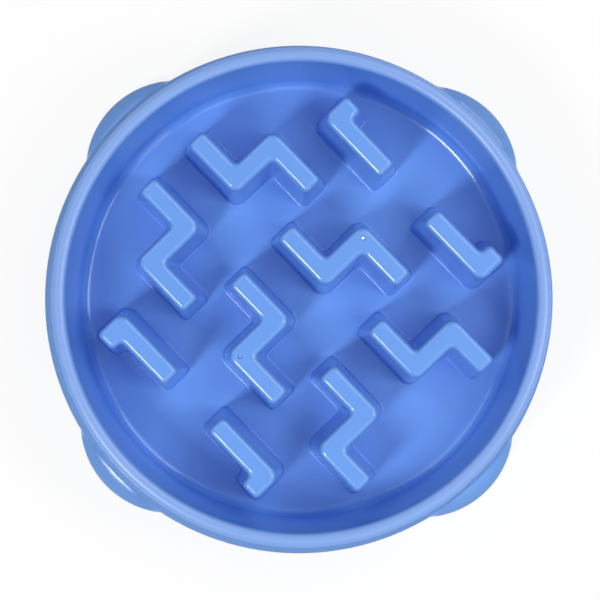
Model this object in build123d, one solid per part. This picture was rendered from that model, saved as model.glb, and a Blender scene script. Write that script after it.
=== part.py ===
from build123d import *

import os
from math import cos, radians, sqrt, tan

# Slow feeder bowl: one plastic moulding, open underneath, on four rubber foot pads.
# The table is z = 0, the bowl's axis is Z, and the maze ridges run along X and Y.

# Rim, walls and floor
BOWL_HEIGHT = 64.0  # table to top of rim
RIM_RADIUS = 127.2  # outer edge of the rim
RIM_WIDTH = 6.8
RIM_INNER_ROUND = 3.6
RIM_OUTER_ROUND = 3.6
WALL = 2.5  # thickness all over the moulding
SKIRT_FLARE = 11.5  # lower edge of the outer wall, out from the rim
SKIRT_LIFT = 1.5  # lower edge above the table
FLOOR_HEIGHT = 18.0  # top of the floor above the table
BASIN_DRAFT = 5.5  # slope of the inner wall, degrees
BASIN_ROUND = 5.0  # inner wall into floor

# Maze ridges, measured where their walls would meet the level of their tops
RIDGE_TOP = 58.0
RIDGE_DRAFT = 4.5  # slope of the ridge walls, degrees
LEG_WIDTH = 11.0
CHANNEL_WIDTH = 23.4  # between the two mirrored rows of zigzags
ZIGZAG_PITCH = 66.6
ZIGZAG_DEPTH = 37.6  # across both legs of a zigzag
ZIGZAG_REACH = 30.1  # from the middle of a zigzag to the end of a leg
SHORT_REACH = 25.6  # the same, for the leg that ends at the wall
HOOK_START = 16.2  # inner end of a hook, from the middle of the bowl
HOOK_LENGTH = 42.5
HOOK_OFFSET = 71.4  # near side of a hook, from the middle of the bowl
HOOK_DEPTH = 17.4
BEND_ROUND = 6.0  # outside of a bend, seen from above
CROOK_ROUND = 2.5  # inside of a bend
END_ROUND = 3.0  # corners at the end of a leg
CREST_BREAK = 1.8  # flat along the top edges

# Foot lobes
LOBE_COUNT = 4
LOBE_OVERHANG = 7.3  # outermost edge, out from the lower edge of the wall
LOBE_RADIUS = 49.6
LOBE_DRAFT = 4.0
LOBE_SHOULDER = 13.0  # height of the outer edge before it is rounded
LOBE_SLOPE = 12.0  # fall of the top, degrees
LOBE_ROUND = 7.0
LOBE_BLEND = 1.5  # lobe into skirt

# Foot pads and the bosses that hold them
PAD_THICKNESS = 3.5
PAD_WIDTH = 13.0
PAD_SPAN = 60.0  # degrees round the lobe's own axis
PAD_GAP = 1.0  # pad edge to lobe wall
PAD_BREAK = 0.8  # flat round the lower edge
BOSS_SPAN = 36.0  # degrees between the two bosses of a lobe
BOSS_WALL = 2.0
BOSS_BORE_RADIUS = 2.0
STEM_CLEARANCE = 0.15
STEM_LENGTH = 6.0
STEM_END_GAP = 1.5

CUT_MARGIN = 1.0  # how far a cutting shape runs past the face it opens
ROUND_TO_FLAT = 2 - sqrt(2)  # width of the 45 degree flat that touches a round, for each unit of its radius
STEEP = 0.5  # rise per millimetre of edge that tells an upright edge from a level one

SKIRT_RADIUS = RIM_RADIUS + SKIRT_FLARE
LOBE_AXIS = SKIRT_RADIUS + LOBE_OVERHANG - LOBE_RADIUS
PAD_ARC_RADIUS = LOBE_RADIUS - WALL - PAD_GAP - PAD_WIDTH / 2
FLOOR_UNDERSIDE = FLOOR_HEIGHT - WALL
SHOULDER_RADIUS = LOBE_RADIUS - (LOBE_SHOULDER - SKIRT_LIFT) * tan(radians(LOBE_DRAFT))
PAD_NAMES = ["right", "back", "left", "front"]


def basin_radius(height):
    """Inner wall of the bowl at a height."""
    return RIM_RADIUS - RIM_WIDTH - (BOWL_HEIGHT - height) * tan(radians(BASIN_DRAFT))


def skirt_radius(height):
    """Outer wall of the bowl at a height."""
    slope = (SKIRT_RADIUS - RIM_RADIUS) / (BOWL_HEIGHT - SKIRT_LIFT)
    return SKIRT_RADIUS - (height - SKIRT_LIFT) * slope


def corner(face, place):
    """The vertex of a flat face that is nearest to a place."""
    return face.vertices().sort_by_distance((*place, 0))[0]


def turned(face):
    """Solid of revolution of a face drawn in radius and height."""
    return revolve(Plane.XZ * face, Axis.Z)


def wall_of_revolution():
    """Floor, inner wall, rim and skirt in one section."""
    ceiling = BOWL_HEIGHT - WALL
    basin_back = WALL / cos(radians(BASIN_DRAFT))
    floor_corner = (basin_radius(FLOOR_HEIGHT), FLOOR_HEIGHT)
    rim_inside = (basin_radius(BOWL_HEIGHT), BOWL_HEIGHT)
    rim_outside = (RIM_RADIUS, BOWL_HEIGHT)
    under_corner = (basin_radius(FLOOR_UNDERSIDE) + basin_back, FLOOR_UNDERSIDE)
    section = make_face(
        Polyline(
            (0, FLOOR_HEIGHT),
            floor_corner,
            rim_inside,
            rim_outside,
            (SKIRT_RADIUS, SKIRT_LIFT),
            (SKIRT_RADIUS - WALL, SKIRT_LIFT),
            (skirt_radius(ceiling) - WALL, ceiling),
            (basin_radius(ceiling) + basin_back, ceiling),
            under_corner,
            (0, FLOOR_UNDERSIDE),
            close=True,
        )
    )
    section = fillet(corner(section, floor_corner), BASIN_ROUND)
    section = fillet(corner(section, rim_inside), RIM_INNER_ROUND)
    section = fillet(corner(section, rim_outside), RIM_OUTER_ROUND)
    section = chamfer(corner(section, under_corner), (BASIN_ROUND + WALL) * ROUND_TO_FLAT)
    return turned(section)


def lobe_section():
    """Half section of a lobe about its own axis, with sharp corners and drawn past its open underside."""
    bottom = SKIRT_LIFT - WALL - CUT_MARGIN
    bottom_radius = LOBE_RADIUS + (SKIRT_LIFT - bottom) * tan(radians(LOBE_DRAFT))
    crown = LOBE_SHOULDER + SHOULDER_RADIUS * tan(radians(LOBE_SLOPE))
    shoulder = (SHOULDER_RADIUS, LOBE_SHOULDER)
    return make_face(Polyline((0, bottom), (bottom_radius, bottom), shoulder, (0, crown), close=True))


def lobe_shell():
    """Outside of one lobe, from the middle of the skirt's thickness outwards."""
    section = lobe_section()
    section = fillet(corner(section, (SHOULDER_RADIUS, LOBE_SHOULDER)), LOBE_ROUND)
    body = Pos(LOBE_AXIS, 0, 0) * turned(section)
    body = split(body, Plane.XY.offset(SKIRT_LIFT), keep=Keep.TOP)
    skirt_core = Cone(
        bottom_radius=SKIRT_RADIUS - WALL / 2,
        top_radius=RIM_RADIUS - WALL / 2,
        height=BOWL_HEIGHT - SKIRT_LIFT,
        align=(Align.CENTER, Align.CENTER, Align.MIN),
    )
    return body - Pos(0, 0, SKIRT_LIFT) * skirt_core


def lobe_hollow():
    """Space inside one lobe, open to the space between skirt and basin."""
    section = offset(lobe_section(), -WALL, kind=Kind.INTERSECTION)
    shoulder = corner(section, (SHOULDER_RADIUS - WALL, LOBE_SHOULDER - WALL))
    section = chamfer(shoulder, (LOBE_ROUND - WALL) * ROUND_TO_FLAT)
    core = Pos(LOBE_AXIS, 0, 0) * turned(section)
    between_walls = (basin_radius(FLOOR_HEIGHT) + skirt_radius(FLOOR_HEIGHT)) / 2
    return core - Cylinder(between_walls, BOWL_HEIGHT)


def boss_places():
    """Where the two bosses of the lobe on +X stand."""
    centre = Pos(LOBE_AXIS, 0, 0)
    return [centre * Rot(0, 0, side * BOSS_SPAN / 2) * Pos(PAD_ARC_RADIUS, 0, 0) for side in (-1, 1)]


def lobe_bosses():
    """Two tubes hanging from the top of a lobe down to its pad."""
    standing = (Align.CENTER, Align.CENTER, Align.MIN)
    tube = Cylinder(BOSS_BORE_RADIUS + BOSS_WALL, LOBE_SHOULDER - PAD_THICKNESS, align=standing)
    tube -= Cylinder(BOSS_BORE_RADIUS, STEM_LENGTH + STEM_END_GAP, align=standing)
    return [place * Pos(0, 0, PAD_THICKNESS) * tube for place in boss_places()]


def drafted_bar(x_low, x_high, y_low, y_high, bottom, top):
    """Straight bar with sloping walls, given by the outline of its top."""
    spread = (top - bottom) * tan(radians(RIDGE_DRAFT))
    base = Rectangle(x_high - x_low + 2 * spread, y_high - y_low + 2 * spread)
    place = Pos((x_low + x_high) / 2, (y_low + y_high) / 2, bottom)
    return extrude(place * base, amount=top - bottom, taper=RIDGE_DRAFT)


def round_upright_edges(body, places, top, radius):
    """Round the sloping edges whose upper ends are at the given places."""
    for x, y in places:
        upright = body.edges().filter_by(lambda edge: abs((edge % 0.5).Z) > STEEP)
        body = fillet(upright.sort_by_distance((x, y, top))[0], radius)
    return body


def ridge(bars, bends, crooks, ends, inset):
    """Ridge made of bars that share their top, or with an inset the hollow inside it."""
    top = RIDGE_TOP - inset
    bottom = FLOOR_UNDERSIDE - (CUT_MARGIN if inset else 0)
    body = Part() + [drafted_bar(*bar, bottom, top) for bar in bars]
    body = round_upright_edges(body, bends, top, BEND_ROUND - inset)
    body = round_upright_edges(body, crooks, top, CROOK_ROUND + inset)
    if inset:
        return body
    body = round_upright_edges(body, ends, top, END_ROUND)
    return chamfer(body.faces().sort_by(Axis.Z)[-1].edges(), CREST_BREAK)


def zigzag(column, outer_reach, inset):
    """Two parallel legs joined by an upright one, in the row on the +Y side."""
    middle = column * ZIGZAG_PITCH
    left, right = middle - LEG_WIDTH / 2 + inset, middle + LEG_WIDTH / 2 - inset
    start, end = middle - ZIGZAG_REACH + inset, middle + outer_reach - inset
    near, far = CHANNEL_WIDTH / 2 + inset, CHANNEL_WIDTH / 2 + ZIGZAG_DEPTH - inset
    near_edge, far_edge = near + LEG_WIDTH - 2 * inset, far - LEG_WIDTH + 2 * inset
    return ridge(
        bars=[(start, right, near, near_edge), (left, right, near, far), (left, end, far_edge, far)],
        bends=[(right, near), (left, far)],
        crooks=[(right, far_edge), (left, near_edge)],
        ends=[(start, near), (start, near_edge), (end, far_edge), (end, far)],
        inset=inset,
    )


def hook(inset):
    """Long leg with a short one at its outer end, in the quarter on +X and +Y."""
    start, end = HOOK_START + inset, HOOK_START + HOOK_LENGTH - inset
    near, far = HOOK_OFFSET + inset, HOOK_OFFSET + HOOK_DEPTH - inset
    near_edge, end_edge = near + LEG_WIDTH - 2 * inset, end - LEG_WIDTH + 2 * inset
    return ridge(
        bars=[(start, end, near, near_edge), (end_edge, end, near, far)],
        bends=[(end, near)],
        crooks=[(end_edge, near_edge)],
        ends=[(start, near), (start, near_edge), (end_edge, far), (end, far)],
        inset=inset,
    )


def maze(inset):
    """All ten ridges, or with an inset their hollows."""
    columns = [(-1, ZIGZAG_REACH), (0, ZIGZAG_REACH), (1, SHORT_REACH)]
    row = [zigzag(column, reach, inset) for column, reach in columns]
    corner_hook = hook(inset)
    row += [corner_hook, mirror(corner_hook, about=Plane.YZ)]
    return row + [mirror(body, about=Plane.XZ) for body in row]


def around_lobes(body):
    """Copies of a piece of the lobe on +X at every lobe."""
    return [Rot(0, 0, 360 / LOBE_COUNT * turn) * body for turn in range(LOBE_COUNT)]


def bowl():
    """The whole moulding."""
    walls = wall_of_revolution()
    lobes = around_lobes(lobe_shell())
    body = walls + lobes
    body = fillet(new_edges(walls, *lobes, combined=body), LOBE_BLEND)
    body -= around_lobes(lobe_hollow())
    for boss in lobe_bosses():
        body += around_lobes(boss)
    body += maze(inset=0)
    return body - maze(inset=WALL)


def foot_pad():
    """Rubber pad under the lobe on +X, with two stems that push into its bosses."""
    middle_line = CenterArc((LOBE_AXIS, 0), PAD_ARC_RADIUS, -PAD_SPAN / 2, PAD_SPAN)
    pad = extrude(SlotArc(middle_line, PAD_WIDTH), amount=PAD_THICKNESS)
    pad = chamfer(pad.faces().sort_by(Axis.Z)[0].edges(), PAD_BREAK)
    standing = (Align.CENTER, Align.CENTER, Align.MIN)
    stem = Cylinder(BOSS_BORE_RADIUS - STEM_CLEARANCE, STEM_LENGTH, align=standing)
    return pad + [place * Pos(0, 0, PAD_THICKNESS) * stem for place in boss_places()]


os.makedirs("parts", exist_ok=True)
export_step(bowl(), "parts/bowl.step")
for name, pad in zip(PAD_NAMES, around_lobes(foot_pad())):
    export_step(pad, f"parts/foot_pad_{name}.step")
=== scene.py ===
import logging
from dataclasses import dataclass, replace
from enum import Enum
from math import atan2, cos, floor, hypot, pi, radians, sin, sqrt, tan
from typing import Any, Iterable, Optional

import bmesh
import bpy
from bmesh.types import BMEdge, BMesh, BMFace, BMVert
from bpy.types import ID, Material, Node, NodeSocket, NodeTree, Object
from mathutils import Matrix, Vector


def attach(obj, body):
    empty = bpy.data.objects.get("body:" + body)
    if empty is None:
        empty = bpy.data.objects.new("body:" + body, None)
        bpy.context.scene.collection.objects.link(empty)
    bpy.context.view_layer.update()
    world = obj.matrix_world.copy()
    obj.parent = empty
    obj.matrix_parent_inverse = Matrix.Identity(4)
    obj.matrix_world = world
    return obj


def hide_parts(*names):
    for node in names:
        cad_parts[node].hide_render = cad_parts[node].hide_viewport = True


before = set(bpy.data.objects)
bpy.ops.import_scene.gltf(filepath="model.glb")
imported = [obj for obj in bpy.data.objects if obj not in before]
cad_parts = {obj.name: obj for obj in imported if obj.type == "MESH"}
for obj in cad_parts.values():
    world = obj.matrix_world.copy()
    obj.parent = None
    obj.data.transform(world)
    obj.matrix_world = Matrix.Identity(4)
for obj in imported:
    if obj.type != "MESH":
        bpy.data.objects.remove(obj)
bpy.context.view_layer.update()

# Shapes are worked out in millimetres and brought to the frame's metres when a mesh is finished.
MM = 0.001
# Points closer than this, in mm, count as one.
TOLERANCE = 1e-3
# What every rounding by Blender's bevel shares: a round profile, and no change of material.
BEVEL = {"offset_type": "OFFSET", "profile": 0.5, "material": -1, "clamp_overlap": False}
# Numbers of the colour sockets of Blender's mix node.
MIX_FIRST, MIX_SECOND, MIX_RESULT = 6, 7, 2
WHITE = (1.0, 1.0, 1.0, 1.0)
UP = Vector((0, 0, 1))
log = logging.getLogger("feeder_bowl")


class Slot(Enum):
    """Material slots of the record; no piece here takes its finish from them."""

    BOWL = "bowl_plastic"
    PAD = "pad_rubber"


class Corner(Enum):
    """Kinds of corner in the outline of a ridge, seen from above."""

    BEND = "outside of a bend"
    CROOK = "inside of a bend"
    END = "end of a leg"


# Corners of a ridge seen from above: X, Y and the kind of corner, anticlockwise.
Outline = list[tuple[float, float, Corner]]


class Layer(Enum):
    """The two skins of the moulding."""

    OUTER = "the side that is seen"
    HOLLOW = "the back of the wall, one wall thickness in"


class Surface(Enum):
    """Surfaces that the halves of the mould give the bowl, in the order of the piece's materials."""

    POLISHED = 0  # inner half: basin, ridges and rim
    TEXTURED = 1  # outer half at the lobes
    GATE = 2  # where the plastic came in
    SPARKED = 3  # outer half at the skirt


def linear(hex_colour: str) -> tuple[float, float, float, float]:
    """Turn an sRGB hex colour into linear light.

    Args:
        hex_colour: Six hex digits, red first.

    Returns:
        Red, green, blue and an alpha of 1.
    """
    # The numbers are those of the sRGB standard.
    parts = [int(hex_colour[i : i + 2], 16) / 255 for i in (0, 2, 4)]
    light = [p / 12.92 if p <= 0.04045 else ((p + 0.055) / 1.055) ** 2.4 for p in parts]
    return (light[0], light[1], light[2], 1.0)


def add_node(
    tree: NodeTree,
    kind: str,
    settings: Optional[dict[str, Any]] = None,
    inputs: Optional[dict[Any, Any]] = None,
) -> Node:
    """Add a node with its settings and links.

    Args:
        tree: Node tree that gets the node.
        kind: Blender's type name of the node.
        settings: Attributes to set on the node.
        inputs: Socket name or number, with a constant or the output socket that feeds it.

    Returns:
        The new node.
    """
    node = tree.nodes.new(kind)
    for name, value in (settings or {}).items():
        setattr(node, name, value)
    for name, value in (inputs or {}).items():
        if isinstance(value, NodeSocket):
            tree.links.new(value, node.inputs[name])
        else:
            node.inputs[name].default_value = value
    return node


def add_noise(tree: NodeTree, place: NodeSocket, size: float, detail: float) -> NodeSocket:
    """Add a noise from 0 to 1, with patches of a size in mm and octaves of finer detail."""
    inputs = {"Vector": place, "Scale": 1 / (size * MM), "Detail": detail}
    return add_node(tree, "ShaderNodeTexNoise", inputs=inputs).outputs["Fac"]


def add_bump(
    tree: NodeTree, relief: NodeSocket, height: float, others: Optional[dict[str, Any]] = None
) -> NodeSocket:
    """Shade a relief, a socket from 0 to 1, with its height in mm and other inputs of the node."""
    inputs = {"Strength": 1.0, "Distance": height * MM, "Height": relief, **(others or {})}
    return add_node(tree, "ShaderNodeBump", inputs=inputs).outputs["Normal"]


def mix_colours(tree: NodeTree, share: NodeSocket, first: Any, second: Any) -> NodeSocket:
    """Mix two colours, each a constant or a socket, by the second one's share."""
    inputs = {0: share, MIX_FIRST: first, MIX_SECOND: second}
    return add_node(tree, "ShaderNodeMix", {"data_type": "RGBA"}, inputs).outputs[MIX_RESULT]


def between(tree: NodeTree, share: NodeSocket, low: Any, high: Any) -> NodeSocket:
    """Go from one value to another, each a constant or a socket, as a share goes from 0 to 1."""
    inputs = {"Value": share, "To Min": low, "To Max": high}
    return add_node(tree, "ShaderNodeMapRange", inputs=inputs).outputs["Result"]


def ease(tree: NodeTree, value: NodeSocket, start: float, end: float) -> NodeSocket:
    """Rise smoothly from 0 to 1 as a value goes from its start to its end."""
    smooth = {"interpolation_type": "SMOOTHSTEP"}
    inputs = {"Value": value, "From Min": start, "From Max": end}
    return add_node(tree, "ShaderNodeMapRange", smooth, inputs).outputs["Result"]


def work_out(tree: NodeTree, operation: str, values: Iterable[Any], clamp: bool = False) -> NodeSocket:
    """Work out one of Blender's operations on constants or sockets, from 0 to 1 if it is clamped."""
    settings = {"operation": operation, "use_clamp": clamp}
    return add_node(tree, "ShaderNodeMath", settings, dict(enumerate(values))).outputs[0]


def start_material(name: str, inputs: dict[str, Any]) -> tuple[Material, NodeTree, Node]:
    """Start a material with the principled shader.

    Args:
        name: Name of the material.
        inputs: Constants of the shader.

    Returns:
        The material, its node tree and the shader.
    """
    material = bpy.data.materials.new(name)
    material.use_nodes = True
    tree = material.node_tree
    shader = tree.nodes["Principled BSDF"]
    for socket, value in inputs.items():
        shader.inputs[socket].default_value = value
    return material, tree, shader


def add_object(name: str, data: ID) -> Object:
    """Put a mesh, a camera or a light into the scene as a new object."""
    added = bpy.data.objects.new(name, data)
    bpy.context.scene.collection.objects.link(added)
    return added


def picture_axes(turn: float) -> tuple[Vector, Vector]:
    """Directions on the table to the right and to the bottom of a picture that is turned from +X."""
    return Vector((cos(turn), sin(turn), 0)), Vector((sin(turn), -cos(turn), 0))


def at_level(part: Any, height: float) -> bool:
    """Tell whether an edge or a face lies level at a height."""
    return all(abs(vertex.co.z - height) < TOLERANCE for vertex in part.verts)


def tangent_length(radius: float, angle: float) -> float:
    """Length that a rounding takes from each side of a corner with this angle, in radians."""
    return radius / tan(angle / 2)


def round_corner(mesh: BMesh, vertex: BMVert, length: float, steps: int) -> list[BMVert]:
    """Round a corner of a flat face in its plane, from a length off, and give the new vertices."""
    rounded = bmesh.ops.bevel(
        mesh, geom=[vertex], offset=length, segments=steps, affect="VERTICES", **BEVEL
    )
    return rounded["verts"]


def round_edges(mesh: BMesh, edges: Iterable[BMEdge], length: float, steps: int) -> None:
    """Round edges between two faces, from a length off each, with a number of faces across."""
    bmesh.ops.bevel(
        mesh, geom=list(edges), offset=length, segments=steps, affect="EDGES", loop_slide=True, **BEVEL
    )


def extrude_loop(mesh: BMesh, edges: list[BMEdge]) -> tuple[set[BMVert], list[BMEdge], list[BMFace]]:
    """Extrude a closed loop of edges in place.

    Args:
        mesh: Mesh that holds the loop.
        edges: The loop.

    Returns:
        Vertices and edges of the new loop, and the faces between the two loops.
    """
    made = bmesh.ops.extrude_edge_only(mesh, edges=edges)["geom"]
    vertices = {g for g in made if isinstance(g, BMVert)}
    loop = [g for g in made if isinstance(g, BMEdge) and set(g.verts) <= vertices]
    faces = [g for g in made if isinstance(g, BMFace)]
    return vertices, loop, faces


def weld(mesh: BMesh) -> None:
    """Join the points of a whole piece that meet, and turn all its faces outwards."""
    bmesh.ops.remove_doubles(mesh, verts=mesh.verts, dist=TOLERANCE)
    bmesh.ops.recalc_face_normals(mesh, faces=mesh.faces)


def add_copies(mesh: BMesh, skin: BMesh) -> None:
    """Add a skin of a ridge and its mirror image in the other row.

    Args:
        mesh: Mesh that gets them.
        skin: The skin, freed here.
    """
    for layer in list(skin.verts.layers.float_vector.values()):
        skin.verts.layers.float_vector.remove(layer)
    # The two rows don't meet, so a distance below zero leaves out the merge.
    bmesh.ops.mirror(skin, geom=skin.verts[:] + skin.edges[:] + skin.faces[:], axis="Y", merge_dist=-1.0)
    data = bpy.data.meshes.new("ridge")
    skin.to_mesh(data)
    skin.free()
    mesh.from_mesh(data)
    bpy.data.meshes.remove(data)


def finish_piece(mesh: BMesh, name: str, materials: Iterable[Material]) -> Object:
    """Turn a mesh in millimetres into a piece that rides on the bowl's body.

    Args:
        mesh: Closed mesh, freed here.
        name: Name of the piece.
        materials: Finishes of the piece, in the order of its faces' material numbers.

    Returns:
        The piece, at the origin, with its place in its mesh.
    """
    bmesh.ops.scale(mesh, vec=(MM, MM, MM), verts=mesh.verts)
    for face in mesh.faces:
        face.smooth = True
    data = bpy.data.meshes.new(name)
    mesh.to_mesh(data)
    mesh.free()
    for material in materials:
        data.materials.append(material)
    piece = add_object(name, data)
    # Flat faces keep their own normals, and the roundings between them turn from one to the next.
    normals = piece.modifiers.new("even_shading", "WEIGHTED_NORMAL")
    normals.mode = "FACE_AREA"
    normals.keep_sharp = True
    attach(piece, "root")
    log.info("%s: %d faces", name, len(data.polygons))
    return piece


def shows_background(tree: NodeTree) -> NodeSocket:
    """Find the rays that show the background as it is: the camera's, and those in gloss and glass.

    Args:
        tree: Node tree of the background.

    Returns:
        A socket that is 1 for these rays and 0 for the rest.
    """
    path = add_node(tree, "ShaderNodeLightPath").outputs
    mirrored = work_out(tree, "MAXIMUM", (path["Is Glossy Ray"], path["Is Transmission Ray"]))
    return work_out(tree, "MAXIMUM", (path["Is Camera Ray"], mirrored))


@dataclass(frozen=True)
class MouldedPolypropylene:
    """Blue polypropylene from a polished mould, with a satin grain on the level faces."""

    name: str = "polished_polypropylene"
    colour: str = "6093e1"
    pale_colour: str = "6698e3"
    rim_painted_light_colour: str = "7c9fde"  # painted light: the rim is painted paler to stand in for the brighter light it catches
    rim_foot: float = 61.6  # mm, height where the rim's painted light and its own roughness start
    rim_top: float = 63.3  # mm, height where both are full
    ior: float = 1.49
    specular: float = 0.5
    wall_roughness: float = 0.13
    top_roughness: float = 0.26
    rim_roughness: float = 0.3
    grain_share: float = 0.06  # what the grain adds to the roughness
    level_start: float = 0.93  # upward part of the normal where a face starts to count as level
    level_full: float = 0.995  # and where it is level
    flow_size: float = 45.0  # mm, drift of the pigment as the plastic filled the mould
    grain_size: float = 0.9  # mm, the real grain is about 0.3 mm and is drawn coarser so that it shows
    wave_size: float = 24.0  # mm, slight sink of the walls as they cooled
    grain_height: float = 0.004  # mm
    wave_height: float = 0.006  # mm

    def build(self) -> Material:
        """Make the material.

        Returns:
            A glossy blue plastic whose level faces are a little duller than its walls.
        """
        material, tree, shader = start_material(
            self.name, {"IOR": self.ior, "Specular IOR Level": self.specular}
        )
        place = add_node(tree, "ShaderNodeTexCoord").outputs["Object"]
        flow = add_noise(tree, place, self.flow_size, detail=3.0)
        grain = add_noise(tree, place, self.grain_size, detail=2.0)
        wave = add_noise(tree, place, self.wave_size, detail=1.0)
        height = add_node(tree, "ShaderNodeSeparateXYZ", inputs={0: place}).outputs["Z"]
        on_rim = ease(tree, height, self.rim_foot * MM, self.rim_top * MM)
        colour = mix_colours(tree, flow, linear(self.colour), linear(self.pale_colour))
        # Painted light: a paler colour is mixed in on the rim, standing in for the brighter light it
        # catches.
        with_painted_rim_light = mix_colours(tree, on_rim, colour, linear(self.rim_painted_light_colour))
        tree.links.new(with_painted_rim_light, shader.inputs["Base Color"])
        # Level faces took the grain of the mould, the rim and upright faces were polished.
        normal = add_node(tree, "ShaderNodeNewGeometry").outputs["Normal"]
        upward = add_node(tree, "ShaderNodeSeparateXYZ", inputs={0: normal}).outputs["Z"]
        level = ease(tree, upward, self.level_start, self.level_full)
        satin = work_out(tree, "SUBTRACT", (level, on_rim), clamp=True)
        moulded = between(tree, level, self.wall_roughness, self.top_roughness)
        roughness = between(tree, on_rim, moulded, self.rim_roughness)
        uneven = work_out(tree, "MULTIPLY_ADD", (grain, self.grain_share, roughness))
        tree.links.new(uneven, shader.inputs["Roughness"])
        sunk = add_bump(tree, wave, self.wave_height)
        grained = add_bump(tree, grain, self.grain_height, {"Strength": satin, "Normal": sunk})
        tree.links.new(grained, shader.inputs["Normal"])
        return material


@dataclass(frozen=True)
class MouldedRubber:
    """Soft rubber for feet, matt from a blasted mould."""

    name: str = "moulded_tpe_rubber"
    colour: str = "2c2e33"
    worn_colour: str = "3a3d43"
    ior: float = 1.5
    roughness: float = 0.72
    grit_size: float = 0.6  # mm
    grit_height: float = 0.02  # mm
    bloom_size: float = 8.0  # mm, paler patches on the surface

    def build(self) -> Material:
        """Make the material.

        Returns:
            A dark matt rubber with a fine grit.
        """
        material, tree, shader = start_material(
            self.name, {"IOR": self.ior, "Roughness": self.roughness}
        )
        place = add_node(tree, "ShaderNodeTexCoord").outputs["Object"]
        bloom = add_noise(tree, place, self.bloom_size, detail=4.0)
        grit = add_noise(tree, place, self.grit_size, detail=2.0)
        colour = mix_colours(tree, bloom, linear(self.colour), linear(self.worn_colour))
        tree.links.new(colour, shader.inputs["Base Color"])
        tree.links.new(add_bump(tree, grit, self.grit_height), shader.inputs["Normal"])
        return material


@dataclass
class FootLobe:
    """One of the four rounded feet that swell out of the skirt, about its own upright axis."""

    count: int = 4
    axis: float = 96.4  # middle of the bowl to the lobe's own axis
    radius: float = 49.6  # at the lower edge
    draft: float = radians(4.0)
    shoulder: float = 13.0  # height of the outer edge before it is rounded
    slope: float = radians(12.0)  # fall of the top
    rounding: float = 9.5
    blend: float = 1.0  # reach of the blend into the skirt
    foot: float = 1.5  # lower edge above the table

    def to_lobe(self, number: int) -> Matrix:
        """Rotation that takes the lobe on +X to another, counted anticlockwise."""
        return Matrix.Rotation(number * 2 * pi / self.count, 3, "Z")

    def shoulder_radius(self) -> float:
        """Radius where the wall and the top would meet."""
        return self.radius - (self.shoulder - self.foot) * tan(self.draft)

    def round_centre(self) -> tuple[float, float]:
        """Radius about the lobe's axis, and height, of the centre of the rounding of its top edge."""
        reach = self.rounding / (1 + sin(self.slope + self.draft))
        return (
            self.shoulder_radius() - reach * (sin(self.slope) + cos(self.draft)),
            self.shoulder - reach * (cos(self.slope) + sin(self.draft)),
        )

    def section_radius(self, height: float, inset: float) -> float:
        """Radius of the lobe about its own axis.

        Args:
            height: Height above the table.
            inset: Distance in from the outer skin.

        Returns:
            The radius at that height.
        """
        centre_radius, centre_height = self.round_centre()
        arc = self.rounding - inset
        if height > centre_height + arc * cos(self.slope):
            rise = height + inset / cos(self.slope) - self.shoulder
            return self.shoulder_radius() - rise / tan(self.slope)
        if height > centre_height + arc * sin(self.draft):
            return centre_radius + sqrt(arc**2 - (height - centre_height) ** 2)
        return self.radius - (height - self.foot) * tan(self.draft) - inset / cos(self.draft)

    def reach(self, angle: float, height: float, inset: float) -> float:
        """Distance of the lobe's skin from the middle of the bowl.

        Args:
            angle: Angle from the middle of the lobe, about the bowl's axis.
            height: Height above the table.
            inset: Distance in from the outer skin.

        Returns:
            The distance, or zero where the lobe has no skin in that direction.
        """
        radius = self.section_radius(height, inset)
        side = self.axis * sin(angle)
        if radius <= abs(side):
            return 0.0
        return self.axis * cos(angle) + sqrt(radius**2 - side**2)

    def swell(self, skirt: float, lobe: float) -> float:
        """Join skirt and lobe, given by their reach from the bowl's middle, with a soft inner corner."""
        share = min(max(0.5 + 0.5 * (lobe - skirt) / self.blend, 0.0), 1.0)
        return skirt + (lobe - skirt) * share + self.blend * share * (1 - share)


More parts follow.
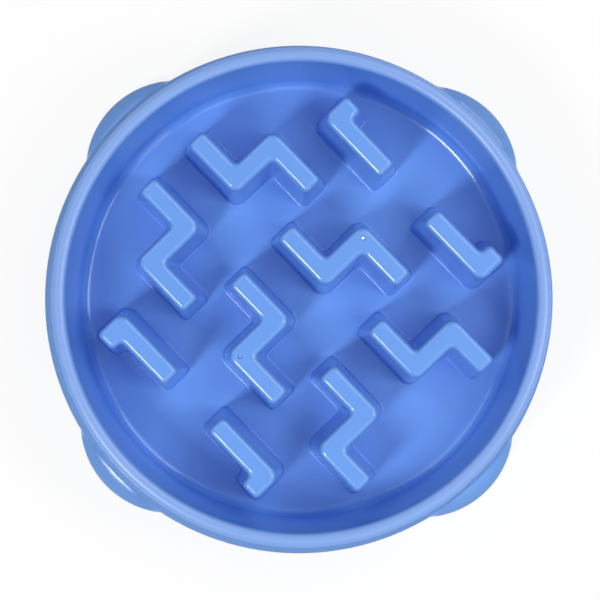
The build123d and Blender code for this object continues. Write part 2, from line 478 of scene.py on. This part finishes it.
@dataclass
class MazeRidge:
    """A hollow ridge of straight legs, given by its outline where the walls would meet its top."""

    top: float = 58.0
    draft: float = radians(4.5)
    leg_width: float = 11.0
    channel_width: float = 23.4  # between the two mirrored rows
    zigzag_pitch: float = 66.6
    zigzag_depth: float = 37.6
    zigzag_reach: float = 30.1
    short_reach: float = 25.6  # for the leg that ends at the wall
    hook_start: float = 16.2
    hook_length: float = 42.5
    hook_offset: float = 71.4
    hook_depth: float = 17.4
    bend_round: float = 6.0
    crook_round: float = 2.5
    end_round: float = 3.0
    hollow_end_round: float = 0.8
    crest_round: float = 3.1
    foot_round: float = 1.0
    foot_margin: float = 1.3  # flat strip of floor round a ridge
    arc_steps: int = 10
    crest_steps: int = 8
    foot_steps: int = 4
    gate_radius: float = 1.6
    gate_depth: float = 0.7
    gate_lip: float = 0.15  # drop at the edge of the mark
    gate_nub: float = 0.9  # radius of the stub that is left in the mark
    gate_slant: float = radians(22.4)  # the plastic in the gate broke off at a slant
    gate_place: float = 43.8  # from the middle of the bowl
    nub_drop: float = 0.07  # from the top of the ridge to the middle of the stub's broken face
    nub_rings: tuple[float, ...] = (0.8, 0.3)  # loops on the broken face, as shares of its radius
    dish_rings: tuple[float, ...] = (1.0, 0.8, 0.6)  # loops in the dish, as shares of its radius
    gate_steps: int = 32

    def zigzag(self, column: int, reach: float) -> Outline:
        """Outline of a zigzag in the row on the +Y side.

        Args:
            column: -1, 0 or 1, counted along X.
            reach: From the middle of the zigzag to the end of its far leg.

        Returns:
            Corners, anticlockwise from above.
        """
        middle = column * self.zigzag_pitch
        left, right = middle - self.leg_width / 2, middle + self.leg_width / 2
        start, end = middle - self.zigzag_reach, middle + reach
        near = self.channel_width / 2
        far = near + self.zigzag_depth
        near_edge, far_edge = near + self.leg_width, far - self.leg_width
        return [
            (start, near, Corner.END),
            (right, near, Corner.BEND),
            (right, far_edge, Corner.CROOK),
            (end, far_edge, Corner.END),
            (end, far, Corner.END),
            (left, far, Corner.BEND),
            (left, near_edge, Corner.CROOK),
            (start, near_edge, Corner.END),
        ]

    def hook(self) -> Outline:
        """Outline of the hook in the quarter on +X and +Y.

        Returns:
            Corners, anticlockwise from above.
        """
        start, end = self.hook_start, self.hook_start + self.hook_length
        near, far = self.hook_offset, self.hook_offset + self.hook_depth
        near_edge, end_edge = near + self.leg_width, end - self.leg_width
        return [
            (start, near, Corner.END),
            (end, near, Corner.BEND),
            (end, far, Corner.END),
            (end_edge, far, Corner.END),
            (end_edge, near_edge, Corner.CROOK),
            (start, near_edge, Corner.END),
        ]

    def corner_radius(self, kind: Corner, layer: Layer, inset: float) -> float:
        """Radius of a corner seen from above.

        Args:
            kind: Which corner it is.
            layer: Which skin of the wall.
            inset: Distance in from the outer skin, less than zero for further out.

        Returns:
            The radius, which grows with the inset on the inside of a bend and shrinks elsewhere.
        """
        if kind is Corner.CROOK:
            return self.crook_round + inset
        if kind is Corner.BEND:
            return self.bend_round - inset
        return self.hollow_end_round if layer is Layer.HOLLOW else self.end_round - inset

    def draw(
        self, mesh: BMesh, corners: Outline, layer: Layer, inset: float, height: float
    ) -> BMFace:
        """Draw an outline as a flat face with rounded corners.

        Every vertex keeps two directions, for the loops that are made from this one: the one that
        the sloping walls move it in, and the one that points straight away from the ridge.

        Args:
            mesh: Empty mesh that gets the face.
            corners: Corners of the ridge.
            layer: Which skin of the wall.
            inset: Distance in from the outline.
            height: Height of the face.

        Returns:
            The face.
        """
        slope = mesh.verts.layers.float_vector.new("slope")
        away = mesh.verts.layers.float_vector.new("away")
        points = [Vector((x, y, height)) for x, y, _ in corners]
        sides = [(b - a).normalized().cross(UP) for a, b in zip(points, points[1:] + points[:1])]
        slopes = [sides[i - 1] + sides[i] for i in range(len(sides))]
        vertices = [mesh.verts.new(p - inset * s) for p, s in zip(points, slopes)]
        mesh.faces.new(vertices)
        for vertex, direction, (_, _, kind) in zip(vertices, slopes, corners):
            radius = self.corner_radius(kind, layer, inset)
            tip = vertex.co.copy()
            arc = round_corner(mesh, vertex, radius, self.arc_steps)
            for point in arc:
                point[slope] = direction
                lean = (point.co - tip) / radius
                point[away] = direction - lean if kind is Corner.CROOK else direction + lean
        return arc[0].link_faces[0]

    def next_loop(
        self, mesh: BMesh, edges: list[BMEdge], spread: float, offset: float, height: float
    ) -> list[BMEdge]:
        """Extrude a closed outline to another height.

        Args:
            mesh: Mesh that holds the outline.
            edges: The outline.
            spread: How far the sloping walls move it outwards.
            offset: How far each point moves straight away from the ridge.
            height: New height.

        Returns:
            The new outline.
        """
        slope = mesh.verts.layers.float_vector["slope"]
        away = mesh.verts.layers.float_vector["away"]
        vertices, loop, _ = extrude_loop(mesh, edges)
        for vertex in vertices:
            vertex.co += spread * vertex[slope] + offset * vertex[away]
            vertex.co.z = height
        return loop

    def outside(self, corners: Outline, floor_height: float, gated: bool) -> BMesh:
        """Build the skin of a ridge that is seen, from a strip of floor to its top.

        Args:
            corners: Outline of the ridge.
            floor_height: Height of the floor.
            gated: Whether its top carries the mark of a mould gate.

        Returns:
            The skin, open at the outer edge of its strip of floor.
        """
        mesh = bmesh.new()
        spread = (self.top - floor_height) * tan(self.draft)
        crest = list(self.draw(mesh, corners, Layer.OUTER, 0.0, self.top).edges)
        foot = self.next_loop(mesh, crest, spread, 0.0, floor_height)
        self.next_loop(mesh, foot, 0.0, self.foot_margin, floor_height)
        turn = pi / 2 + self.draft
        round_edges(mesh, foot, tangent_length(self.foot_round, turn), self.foot_steps)
        round_edges(mesh, crest, tangent_length(self.crest_round, turn), self.crest_steps)
        if gated:
            self.mark_gate(mesh)
        return mesh

    def hollow(self, corners: Outline, underside: float, wall: float) -> BMesh:
        """Build the back of a ridge.

        Args:
            corners: Outline of the ridge.
            underside: Height of the floor's underside.
            wall: Wall thickness.

        Returns:
            The skin, open at the underside of the floor.
        """
        mesh = bmesh.new()
        spread = (self.top - wall - underside) * tan(self.draft)
        cap = self.draw(mesh, corners, Layer.HOLLOW, wall, self.top - wall)
        self.next_loop(mesh, list(cap.edges), spread, 0.0, underside)
        return mesh

    def mark_gate(self, mesh: BMesh) -> None:
        """Sink the round mark where the plastic entered the mould, a small dish with a broken nub in it.

        Args:
            mesh: Ridge whose top gets the mark.
        """
        place = Vector((0, self.gate_place, self.top))
        level = [f for f in mesh.faces if at_level(f, self.top)]
        cap = max(level, key=lambda f: f.calc_area())
        edges = list(cap.edges)
        bmesh.ops.delete(mesh, geom=[cap], context="FACES_ONLY")
        ring = bmesh.ops.create_circle(
            mesh, radius=self.gate_radius, segments=self.gate_steps, matrix=Matrix.Translation(place)
        )["verts"]
        rim = list({e for v in ring for e in v.link_edges})
        bmesh.ops.triangle_fill(mesh, edges=edges + rim, use_beauty=True, normal=UP)
        dish = self.gate_depth - self.gate_lip
        edge = self.gate_radius - self.gate_lip
        rings = [share * edge for share in self.dish_rings] + [self.gate_nub]
        steps = [(r, -self.gate_lip - dish * (1 - (r / edge) ** 2), 0.0) for r in rings]
        slant = tan(self.gate_slant)
        steps += [(share * self.gate_nub, -self.nub_drop, slant) for share in self.nub_rings]
        for radius, height, rise in steps:
            vertices, rim, faces = extrude_loop(mesh, rim)
            for vertex in vertices:
                out = (vertex.co - place).xy.normalized() * radius
                vertex.co = (place.x + out.x, place.y + out.y, self.top + height + rise * out.y)
            for face in faces:
                face.material_index = Surface.GATE.value
            for side in rim:
                side.smooth = not rise
        bmesh.ops.contextual_create(mesh, geom=rim, mat_nr=Surface.GATE.value)

    def build(self, mesh: BMesh, floor_height: float, wall: float) -> None:
        """Build both skins of all ten ridges.

        Args:
            mesh: Mesh that gets them.
            floor_height: Height of the floor.
            wall: Wall thickness.
        """
        right = self.hook()
        left = [(-x, y, kind) for x, y, kind in reversed(right)]
        reaches = {-1: self.zigzag_reach, 0: self.zigzag_reach, 1: self.short_reach}
        row = [right, left] + [self.zigzag(column, reach) for column, reach in reaches.items()]
        middle = self.zigzag(0, self.zigzag_reach)
        for corners in row:
            add_copies(mesh, self.outside(corners, floor_height, corners == middle))
            add_copies(mesh, self.hollow(corners, floor_height - wall, wall))


@dataclass
class BowlMoulding:
    """The bowl: rim, skirt, basin, floor, ridges and lobes in one shell of even thickness."""

    lobe: FootLobe
    ridges: MazeRidge
    height: float = 64.0
    rim_radius: float = 127.2
    rim_width: float = 6.8
    rim_inner_round: float = 3.6
    rim_outer_round: float = 3.6
    parting_drop: float = 1.5  # from the top of the rim to the parting line of the mould
    witness: float = 0.34  # height of the fine line that the mould leaves there
    wall: float = 2.5
    skirt_flare: float = 11.5
    skirt_lift: float = 1.5
    floor_height: float = 18.0
    basin_draft: float = radians(5.5)
    basin_round: float = 5.0
    ceiling_round: float = 0.8
    hem_round: float = 0.6
    lobe_zone: float = 16.2  # the skirt has close rows below this height
    lobe_round_zone: float = 10.0  # and wider ones below this
    lobe_corner: float = 0.05  # out from the skirt, where the polished inner corner of a lobe starts
    lobe_edge: float = 1.4  # and where the lobe's own texture starts
    top_rows: int = 40
    side_rows: int = 14
    lobe_sector: float = radians(29.0)
    lobe_steps: int = 72
    plain_steps: int = 24
    corner_steps: int = 10
    seam: float = 0.01  # gap that a full turn may leave

    def basin_radius(self, height: float) -> float:
        """Radius of the inner wall at a height."""
        return self.rim_radius - self.rim_width - (self.height - height) * tan(self.basin_draft)

    def skirt_radius(self, height: float) -> float:
        """Radius of the outer wall at a height."""
        fall = self.skirt_flare / (self.height - self.skirt_lift)
        return self.rim_radius + (self.height - height) * fall

    def section(self, mesh: BMesh) -> list[Any]:
        """Draw the section of the walls, from the floor over the rim to the underside of the floor.

        Args:
            mesh: Mesh that gets the edges, in the plane of X and Z.

        Returns:
            Vertices and edges of the section.
        """
        back = self.wall / cos(self.basin_draft)
        under = self.floor_height - self.wall
        ceiling = self.height - self.wall
        basin_turn = pi / 2 + self.basin_draft
        skirt_turn = pi / 2 + atan2(self.skirt_flare, self.height - self.skirt_lift)
        basin_foot = self.basin_radius(self.floor_height)
        basin_length = tangent_length(self.basin_round, basin_turn)
        back_length = tangent_length(self.basin_round + self.wall, basin_turn)
        rim_length = tangent_length(self.rim_inner_round, basin_turn)
        ring = basin_foot - basin_length
        hem = self.skirt_radius(self.skirt_lift)
        inner_zone = self.lobe_zone - self.wall
        inner_round_zone = self.lobe_round_zone - self.wall
        # Radius and height of each corner, and where its rounding starts.
        points = [
            (ring, self.floor_height, 0.0),
            (basin_foot, self.floor_height, basin_length),
            (self.basin_radius(self.height), self.height, rim_length),
            (self.rim_radius, self.height, tangent_length(self.rim_outer_round, skirt_turn)),
            (self.skirt_radius(self.lobe_zone), self.lobe_zone, 0.0),
            (self.skirt_radius(self.lobe_round_zone), self.lobe_round_zone, 0.0),
            (hem, self.skirt_lift, self.hem_round),
            (hem - self.wall, self.skirt_lift, self.hem_round),
            (self.skirt_radius(inner_round_zone) - self.wall, inner_round_zone, 0.0),
            (self.skirt_radius(inner_zone) - self.wall, inner_zone, 0.0),
            (self.skirt_radius(ceiling) - self.wall, ceiling, self.ceiling_round),
            (self.basin_radius(ceiling) + back, ceiling, self.ceiling_round),
            (self.basin_radius(under) + back, under, back_length),
            (ring, under, 0.0),
        ]
        vertices = [mesh.verts.new((radius, 0, height)) for radius, height, _ in points]
        mesh.faces.new(vertices)
        for vertex, (_, _, length) in zip(vertices, points):
            if length:
                round_corner(mesh, vertex, length, self.corner_steps)
        heights = [height for _, height, _ in points]
        rows = []
        for zone in (self.lobe_round_zone, inner_round_zone):
            border = vertices[heights.index(zone)]
            lower, upper = sorted(border.link_edges, key=lambda e: e.other_vert(border).co.z)
            rows += [(lower, self.side_rows), (upper, self.top_rows)]
        closing = mesh.edges.get((vertices[0], vertices[-1]))
        bmesh.ops.delete(mesh, geom=mesh.faces[:], context="FACES_ONLY")
        bmesh.ops.delete(mesh, geom=[closing], context="EDGES")
        for edge, cuts in rows:
            bmesh.ops.subdivide_edges(mesh, edges=[edge], cuts=cuts)
        return mesh.verts[:] + mesh.edges[:]

    def raise_witness(self, mesh: BMesh) -> tuple[float, float]:
        """Raise the fine line where the halves of the mould met, on the outer round of the rim.

        Args:
            mesh: Mesh with the section of the walls.

        Returns:
            Radius and height of the line.
        """
        centre = Vector((self.rim_radius - self.rim_outer_round, 0, self.height - self.rim_outer_round))
        round_vertices = [v for v in mesh.verts if v.co.x > centre.x and v.co.z > centre.z]
        parting = self.height - self.parting_drop
        line = min(round_vertices, key=lambda v: abs(v.co.z - parting))
        line.co += (line.co - centre).normalized() * self.witness
        return line.co.x, line.co.z

    def turn_walls(self, mesh: BMesh) -> None:
        """Spin the section round the bowl, with closer steps at the lobes.

        Args:
            mesh: Mesh that gets the walls.
        """
        ring = self.section(mesh)
        line_radius, line_height = self.raise_witness(mesh)
        bmesh.ops.rotate(
            mesh,
            verts=[g for g in ring if isinstance(g, BMVert)],
            matrix=Matrix.Rotation(-self.lobe_sector / 2, 3, "Z"),
        )
        plain_sector = 2 * pi / self.lobe.count - self.lobe_sector
        for _ in range(self.lobe.count):
            for angle, steps in ((self.lobe_sector, self.lobe_steps), (plain_sector, self.plain_steps)):
                spun = bmesh.ops.spin(
                    mesh, geom=ring, cent=(0, 0, 0), axis=UP, angle=angle, steps=steps, use_merge=False
                )
                ring = spun["geom_last"]
        bmesh.ops.remove_doubles(mesh, verts=mesh.verts, dist=self.seam)
        on_line = {
            v
            for v in mesh.verts
            if abs(v.co.xy.length - line_radius) < self.seam and abs(v.co.z - line_height) < self.seam
        }
        for edge in mesh.edges:
            edge.smooth = not on_line.issuperset(edge.verts)

    def swell_lobes(self, mesh: BMesh) -> None:
        """Move both skins of the skirt out to the lobes.

        Args:
            mesh: Mesh that holds the walls.
        """
        sector = 2 * pi / self.lobe.count
        least = self.skirt_radius(self.lobe_zone) - 2 * self.wall
        for vertex in mesh.verts:
            radius = hypot(vertex.co.x, vertex.co.y)
            height = vertex.co.z
            if height > self.lobe_zone or radius < least:
                continue
            angle = atan2(vertex.co.y, vertex.co.x)
            local = angle - sector * floor(angle / sector + 0.5)
            outer = self.skirt_radius(height)
            depth = (outer - radius) / self.wall
            skins = []
            for inset in (0.0, self.wall):
                lobe = self.lobe.reach(local, height, inset)
                skins.append(self.lobe.swell(outer - inset, lobe))
            moved = skins[0] + (skins[1] - skins[0]) * depth
            vertex.co.x *= moved / radius
            vertex.co.y *= moved / radius

    def close_floor(self, mesh: BMesh) -> None:
        """Fill the floor and its underside between the walls and the ridges.

        Args:
            mesh: Mesh with open edges at both levels.
        """
        for level, side in ((self.floor_height, UP), (self.floor_height - self.wall, -UP)):
            edges = [e for e in mesh.edges if e.is_boundary and at_level(e, level)]
            bmesh.ops.triangle_fill(mesh, edges=edges, use_beauty=True, normal=side)

    def surface(self, face: BMFace) -> Optional[Surface]:
        """Tell which texture the outer half of the mould gave a face.

        Args:
            face: Face of the finished bowl.

        Returns:
            The texture of a lobe or of the skirt, or nothing for a face that the inner half made.
        """
        middle = face.calc_center_median()
        radius = middle.xy.length
        radial = Vector((middle.x, middle.y, 0.0)).normalized()
        above_parting = middle.z >= self.height - self.parting_drop
        inside = radius < self.rim_radius - self.rim_outer_round or face.normal.dot(radial) <= 0
        if above_parting or inside:
            return None
        reach = radius - self.skirt_radius(middle.z)
        if reach < self.lobe_corner:
            return Surface.SPARKED
        return Surface.TEXTURED if reach > self.lobe_edge else None

    def build(self, finishes: dict[Surface, Material]) -> Object:
        """Build the bowl.

        Args:
            finishes: Its plastic, as each surface of the mould leaves it.

        Returns:
            The piece.
        """
        mesh = bmesh.new()
        self.turn_walls(mesh)
        self.swell_lobes(mesh)
        self.ridges.build(mesh, self.floor_height, self.wall)
        self.close_floor(mesh)
        weld(mesh)
        open_edges = sum(1 for e in mesh.edges if len(e.link_faces) != 2)
        log.info("bowl moulding: %d open edges", open_edges)
        for face in mesh.faces:
            texture = self.surface(face)
            if texture:
                face.material_index = texture.value
        materials = [finishes[surface] for surface in Surface]
        piece = finish_piece(mesh, "bowl_moulding", materials)
        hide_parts("bowl")
        return piece


@dataclass
class FootPads:
    """Four rubber pads under the lobes, with the bosses of the moulding that hold them."""

    lobe: FootLobe
    thickness: float = 3.5
    width: float = 13.0
    span: float = radians(60.0)
    arc_radius: float = 39.1
    edge_round: float = 1.1
    top_round: float = 0.4
    boss_span: float = radians(36.0)
    boss_radius: float = 4.0
    bore_radius: float = 2.0
    bore_depth: float = 7.5
    boss_top: float = 12.9
    stem_radius: float = 1.85
    stem_length: float = 6.0
    stem_break: float = 0.5
    arc_steps: int = 28
    end_steps: int = 16
    turn_steps: int = 28
    edge_steps: int = 5
    top_steps: int = 3

    def at_angle(self, angle: float, radius: float) -> Vector:
        """Point about the axis of the lobe on +X, on the table's level."""
        return Vector((self.lobe.axis + radius * cos(angle), radius * sin(angle), 0))

    def boss_places(self) -> list[Vector]:
        """Where the two bosses of the lobe on +X stand, on the table's level."""
        return [self.at_angle(side * self.boss_span / 2, self.arc_radius) for side in (-1, 1)]

    def outline(self, mesh: BMesh) -> BMFace:
        """Draw the curved slot that a pad has from above.

        Args:
            mesh: Mesh that gets the face, on the table.

        Returns:
            The face.
        """
        centre = Vector((self.lobe.axis, 0, 0))
        half = self.span / 2
        ends = [self.at_angle(angle, self.arc_radius) for angle in (half, -half)]
        tip = [mesh.verts.new(self.at_angle(-half, self.arc_radius + self.width / 2))]
        turns = [
            (centre, self.span, self.arc_steps),
            (ends[0], pi, self.end_steps),
            (centre, -self.span, self.arc_steps),
            (ends[1], pi, self.end_steps),
        ]
        for middle, angle, steps in turns:
            spun = bmesh.ops.spin(mesh, geom=tip, cent=middle, axis=UP, angle=angle, steps=steps)
            tip = [g for g in spun["geom_last"] if isinstance(g, BMVert)]
        bmesh.ops.remove_doubles(mesh, verts=mesh.verts, dist=TOLERANCE)
        return bmesh.ops.contextual_create(mesh, geom=mesh.edges[:])["faces"][0]

    def turned(self, mesh: BMesh, place: Vector, section: list[tuple[float, float]]) -> None:
        """Turn a section about an upright axis.

        Args:
            mesh: Mesh that gets the solid.
            place: Point on the axis.
            section: Radius and height of each corner, from the axis back to the axis.
        """
        vertices = [mesh.verts.new((place.x + radius, place.y, height)) for radius, height in section]
        edges = [mesh.edges.new(pair) for pair in zip(vertices, vertices[1:])]
        ring = {"angle": 2 * pi, "steps": self.turn_steps, "use_merge": True}
        bmesh.ops.spin(mesh, geom=vertices + edges, cent=place, axis=UP, **ring)

    def pad(self, turn: int, name: str, material: Material) -> Object:
        """Build one pad.

        Args:
            turn: Which lobe, counted in quarter turns from +X.
            name: Node that the pad stands for.
            material: Its rubber.

        Returns:
            The piece.
        """
        mesh = bmesh.new()
        sole = self.outline(mesh)
        sole_edges = list(sole.edges)
        raised = bmesh.ops.extrude_face_region(mesh, geom=[sole])["geom"]
        top = [g for g in raised if isinstance(g, BMFace)][0]
        bmesh.ops.translate(mesh, verts=top.verts, vec=(0, 0, self.thickness))
        round_edges(mesh, [e for e in sole_edges if e.is_valid], self.edge_round, self.edge_steps)
        round_edges(mesh, top.edges, self.top_round, self.top_steps)
        stem_foot = self.thickness - self.top_round
        stem_top = self.thickness + self.stem_length
        stem = [
            (0.0, stem_foot),
            (self.stem_radius, stem_foot),
            (self.stem_radius, stem_top - self.stem_break),
            (self.stem_radius - self.stem_break, stem_top),
            (0.0, stem_top),
        ]
        for place in self.boss_places():
            self.turned(mesh, place, stem)
        bmesh.ops.rotate(mesh, verts=mesh.verts, matrix=self.lobe.to_lobe(turn))
        weld(mesh)
        piece = finish_piece(mesh, name + "_rubber", [material])
        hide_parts(name)
        return piece

    def bosses(self, material: Material) -> Object:
        """Build the tubes that hang from the lobes down to the pads.

        Args:
            material: Plastic of the bowl.

        Returns:
            The piece.
        """
        mesh = bmesh.new()
        bore_end = self.thickness + self.bore_depth
        section = [
            (0.0, bore_end),
            (self.bore_radius, bore_end),
            (self.bore_radius, self.thickness),
            (self.boss_radius, self.thickness),
            (self.boss_radius, self.boss_top),
            (0.0, self.boss_top),
        ]
        for turn in range(self.lobe.count):
            for place in self.boss_places():
                self.turned(mesh, self.lobe.to_lobe(turn) @ place, section)
        weld(mesh)
        return finish_piece(mesh, "pad_bosses", [material])

    def build(self, rubber: Material, plastic: Material) -> None:
        """Build the four pads and the bosses.

        Args:
            rubber: Finish of the pads.
            plastic: Finish of the bosses.
        """
        for turn, side in enumerate(("right", "back", "left", "front")):
            self.pad(turn, f"foot_pad_{side}", rubber)
        self.bosses(plastic)


@dataclass
class PhotoCamera:
    """Camera straight above the bowl, turned and leaning as in the photograph."""

    place: tuple[float, float, float] = (-0.693, -22.308, 900.0)  # mm
    turn: float = radians(46.082)  # from +X of the bowl to the right of the picture
    lean_right: float = radians(1.071)
    lean_down: float = radians(-0.916)
    focal_pixels: float = 1645.2
    image_pixels: int = 600
    sensor: float = 36.0  # mm
    clip_start: float = 0.01  # m

    def build(self) -> None:
        """Make the camera and set it as the scene's."""
        right, down = picture_axes(self.turn)
        forward = (self.lean_right * right + self.lean_down * down - UP).normalized()
        right = (right - forward * right.dot(forward)).normalized()
        up = right.cross(forward)
        data = bpy.data.cameras.new("photo_camera")
        data.sensor_fit = "HORIZONTAL"
        data.sensor_width = self.sensor
        data.lens = self.sensor * self.focal_pixels / self.image_pixels
        data.clip_start = self.clip_start
        camera = add_object("photo_camera", data)
        pose = Matrix((right, up, -forward)).transposed().to_4x4()
        pose.translation = Vector(self.place) * MM
        camera.matrix_world = pose
        bpy.context.scene.camera = camera


@dataclass(frozen=True)
class Lamp:
    """A softbox: where it stands in the picture's own directions, its size and its power."""

    name: str
    right: float  # m, towards the right of the picture
    down: float  # m, towards the bottom of the picture
    height: float  # m
    width: float  # m
    depth: float  # m
    power: float  # W


@dataclass
class Studio:
    """White table and softboxes."""

    turn: float
    floor_size: float = 6.0  # m
    floor_colour: str = "f4f4f4"
    floor_roughness: float = 0.9
    floor_glow: float = 0.85  # how far the paper is burnt out to plain white
    ambient: float = 0.05
    lamps: tuple[Lamp, ...] = (
        Lamp("key_lower_left", -0.71, 0.68, 1.19, 0.28, 0.5, 11.8),
        Lamp("side_right", 0.95, 0.15, 1.19, 0.5, 1.0, 8.0),
        Lamp("back_upper_right", 0.8, -0.8, 1.25, 1.0, 1.0, 9.0),
        Lamp("back_upper_left", -0.9, -0.7, 1.25, 1.0, 1.0, 4.2),
        Lamp("front_lower_right", 0.5, 0.9, 1.25, 0.8, 1.0, 3.6),
    )

    def build(self) -> None:
        """Make the table, the lamps and the surrounding light."""
        self.table()
        for lamp in self.lamps:
            self.hang(lamp)
        world = bpy.data.worlds.new("studio")
        world.use_nodes = True
        tree = world.node_tree
        background = tree.nodes["Background"]
        background.inputs["Color"].default_value = WHITE
        strength = between(tree, shows_background(tree), self.ambient, 1.0)
        tree.links.new(strength, background.inputs["Strength"])
        bpy.context.scene.world = world
        bpy.context.scene.view_settings.view_transform = "Standard"

    def table(self) -> None:
        """Make the white table, which keeps the bowl's shadow."""
        mesh = bmesh.new()
        bmesh.ops.create_grid(mesh, x_segments=1, y_segments=1, size=self.floor_size / 2)
        data = bpy.data.meshes.new("table")
        mesh.to_mesh(data)
        mesh.free()
        table = add_object("table", data)
        material, tree, shader = start_material(
            "white_sweep_paper",
            {"Base Color": linear(self.floor_colour), "Roughness": self.floor_roughness},
        )
        white = add_node(tree, "ShaderNodeEmission", inputs={"Color": WHITE, "Strength": 1.0})
        share = between(tree, shows_background(tree), 0.0, self.floor_glow)
        mixed = add_node(
            tree,
            "ShaderNodeMixShader",
            inputs={0: share, 1: shader.outputs["BSDF"], 2: white.outputs["Emission"]},
        )
        tree.links.new(mixed.outputs["Shader"], tree.nodes["Material Output"].inputs["Surface"])
        data.materials.append(material)

    def hang(self, lamp: Lamp) -> None:
        """Hang a softbox and point it at the bowl.

        Args:
            lamp: The softbox.
        """
        right, down = picture_axes(self.turn)
        place = lamp.right * right + lamp.down * down + lamp.height * UP
        data = bpy.data.lights.new(lamp.name, "AREA")
        data.shape = "RECTANGLE"
        data.size = lamp.width
        data.size_y = lamp.depth
        data.energy = lamp.power
        light = add_object(lamp.name, data)
        light.location = place
        light.rotation_euler = (-place).to_track_quat("-Z", "Y").to_euler()


def main() -> None:
    """Build the bowl, its feet, the camera and the studio."""
    logging.basicConfig(level=logging.INFO, format="%(message)s")
    # The core of the mould was polished, so the basin, the ridges and the rim are glossy.
    polished = MouldedPolypropylene().build()
    # The cavity was etched where it shaped the lobes. Its greyer, less blue colour is partly the paler
    # scatter of that texture and partly painted shade, for the lower light that falls on the lobes.
    shaded_outer_half = MouldedPolypropylene(
        name="textured_shaded_polypropylene",
        colour="6795d8",
        pale_colour="6d9ada",
        specular=0.4,
        wall_roughness=0.65,
        top_roughness=0.33,
        grain_height=0.01,
    )
    textured_shaded = shaded_outer_half.build()
    # Round the skirt it was left as spark erosion had cut it, which is duller. It keeps the lobes'
    # colour with its painted shade.
    sparked_shaded = replace(
        shaded_outer_half,
        name="spark_textured_shaded_polypropylene",
        specular=0.12,
        wall_roughness=0.8,
        top_roughness=0.6,
    ).build()
    # The stub broke off in the gate, so its plastic is bare and shiny.
    gate = MouldedPolypropylene(
        name="gate_polypropylene", wall_roughness=0.08, top_roughness=0.08
    ).build()
    rubber = MouldedRubber().build()
    lobe = FootLobe()
    finishes = {
        Surface.POLISHED: polished,
        Surface.TEXTURED: textured_shaded,
        Surface.GATE: gate,
        Surface.SPARKED: sparked_shaded,
    }
    BowlMoulding(lobe, MazeRidge()).build(finishes)
    FootPads(lobe).build(rubber, textured_shaded)
    camera = PhotoCamera()
    camera.build()
    Studio(camera.turn).build()


if __name__ == "__main__":
    main()
